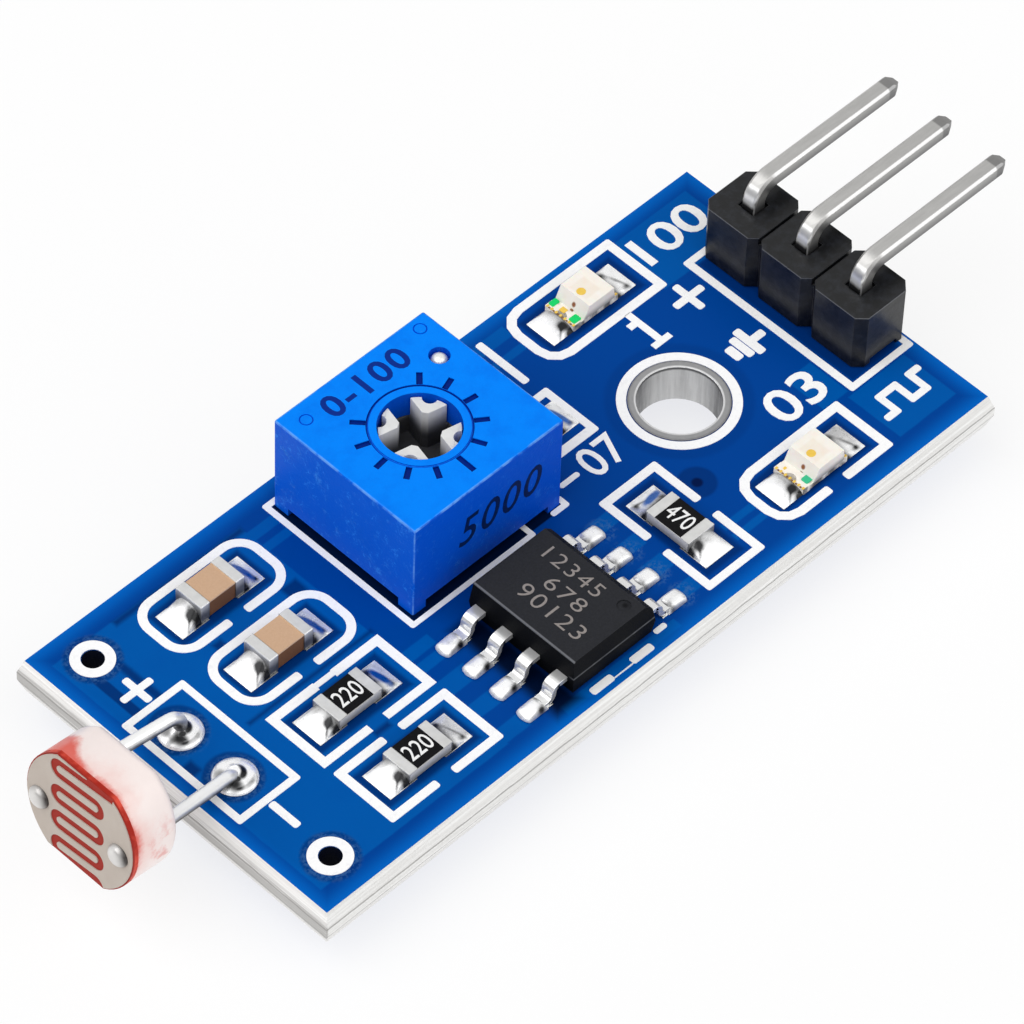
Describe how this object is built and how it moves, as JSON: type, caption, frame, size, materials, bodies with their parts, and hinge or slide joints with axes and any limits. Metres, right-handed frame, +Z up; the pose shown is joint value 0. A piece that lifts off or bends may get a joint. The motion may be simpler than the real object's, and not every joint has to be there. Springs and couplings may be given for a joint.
{
  "type": "light sensor module",
  "caption": "Small blue circuit board with a photoresistor at one end, a square level trimmer, a comparator, indicator lights, a mounting hole and a bent pin header.",
  "frame": {"origin": "axis of the mounting hole at the board's underside", "axes": "+X along the board to the pin header, +Y across the board to the trimmer's side, +Z up out of the component side"},
  "size_m": [0.0419, 0.0148, 0.0074],
  "materials": {
    "board": "glass fibre board under glossy blue solder mask, bare pale edges",
    "tinned_copper": "tinned copper",
    "sensor_ceramic": "white ceramic with a pink tinge",
    "sensor_film": "dark red light-sensitive film",
    "sensor_plate": "matt grey-beige metal film",
    "tinned_wire": "bright tinned wire",
    "trimmer_blue": "satin moulded plastic",
    "adjuster_white": "satin moulded plastic",
    "wiper_brass": "spring brass",
    "element_ceramic": "white ceramic",
    "carbon_track": "printed resistive track",
    "seal_resin": "cast resin",
    "package_black": "matt moulded resin",
    "tinned_lead": "tinned lead frame",
    "header_black": "satin moulded plastic",
    "header_pin": "tin plated square wire",
    "capacitor_tan": "fired ceramic",
    "end_band": "tinned end band",
    "resistor_ceramic": "grey ceramic",
    "resistor_black": "black glaze",
    "light_base": "white base board",
    "light_lens": "milky clear resin",
    "light_die": "yellow chip",
    "gold_contact": "gold plated contact",
    "solder": "bright solder"
  },
  "bodies": {
    "board": {"circuit_board": "board", "mounting_hole_plating": "tinned_copper", "plated_holes": "tinned_copper", "surface_pads": "tinned_copper", "photoresistor_disc": "sensor_ceramic", "photoresistor_film": "sensor_film", "photoresistor_plates": "sensor_plate", "photoresistor_lead_1": "tinned_wire", "photoresistor_lead_2": "tinned_wire", "trimmer_housing": "trimmer_blue", "trimmer_element": "element_ceramic", "trimmer_track": "carbon_track", "trimmer_seal": "seal_resin", "trimmer_terminals": "tinned_wire", "trimmer_stud": "tinned_wire", "comparator_body": "package_black", "comparator_lead_1": "tinned_lead", "comparator_lead_2": "tinned_lead", "comparator_lead_3": "tinned_lead", "comparator_lead_4": "tinned_lead", "comparator_lead_5": "tinned_lead", "comparator_lead_6": "tinned_lead", "comparator_lead_7": "tinned_lead", "comparator_lead_8": "tinned_lead", "header_body": "header_black", "header_pin_1": "header_pin", "header_pin_2": "header_pin", "header_pin_3": "header_pin", "capacitor_1_body": "capacitor_tan", "capacitor_1_bands": "end_band", "capacitor_2_body": "capacitor_tan", "capacitor_2_bands": "end_band", "resistor_1_body": "resistor_ceramic", "resistor_1_cover": "resistor_black", "resistor_1_bands": "end_band", "resistor_2_body": "resistor_ceramic", "resistor_2_cover": "resistor_black", "resistor_2_bands": "end_band", "resistor_3_body": "resistor_ceramic", "resistor_3_cover": "resistor_black", "resistor_3_bands": "end_band", "resistor_4_body": "resistor_ceramic", "resistor_4_cover": "resistor_black", "resistor_4_bands": "end_band", "power_light_base": "light_base", "power_light_lens": "light_lens", "power_light_die": "light_die", "power_light_contacts": "gold_contact", "output_light_base": "light_base", "output_light_lens": "light_lens", "output_light_die": "light_die", "output_light_contacts": "gold_contact", "photoresistor_solder": "solder", "trimmer_solder": "solder", "header_solder": "solder", "comparator_solder": "solder", "chip_solder": "solder"},
    "rotor": {"trimmer_rotor": "adjuster_white", "trimmer_wiper": "wiper_brass"}
  },
  "joints": [
    {"name": "adjuster_turn", "type": "hinge", "parent": "board", "child": "rotor", "pos_m": [-0.00984, 0.00277, 0.005], "axis": [0, 0, 1], "range_deg": [-120, 120]}
  ]
}
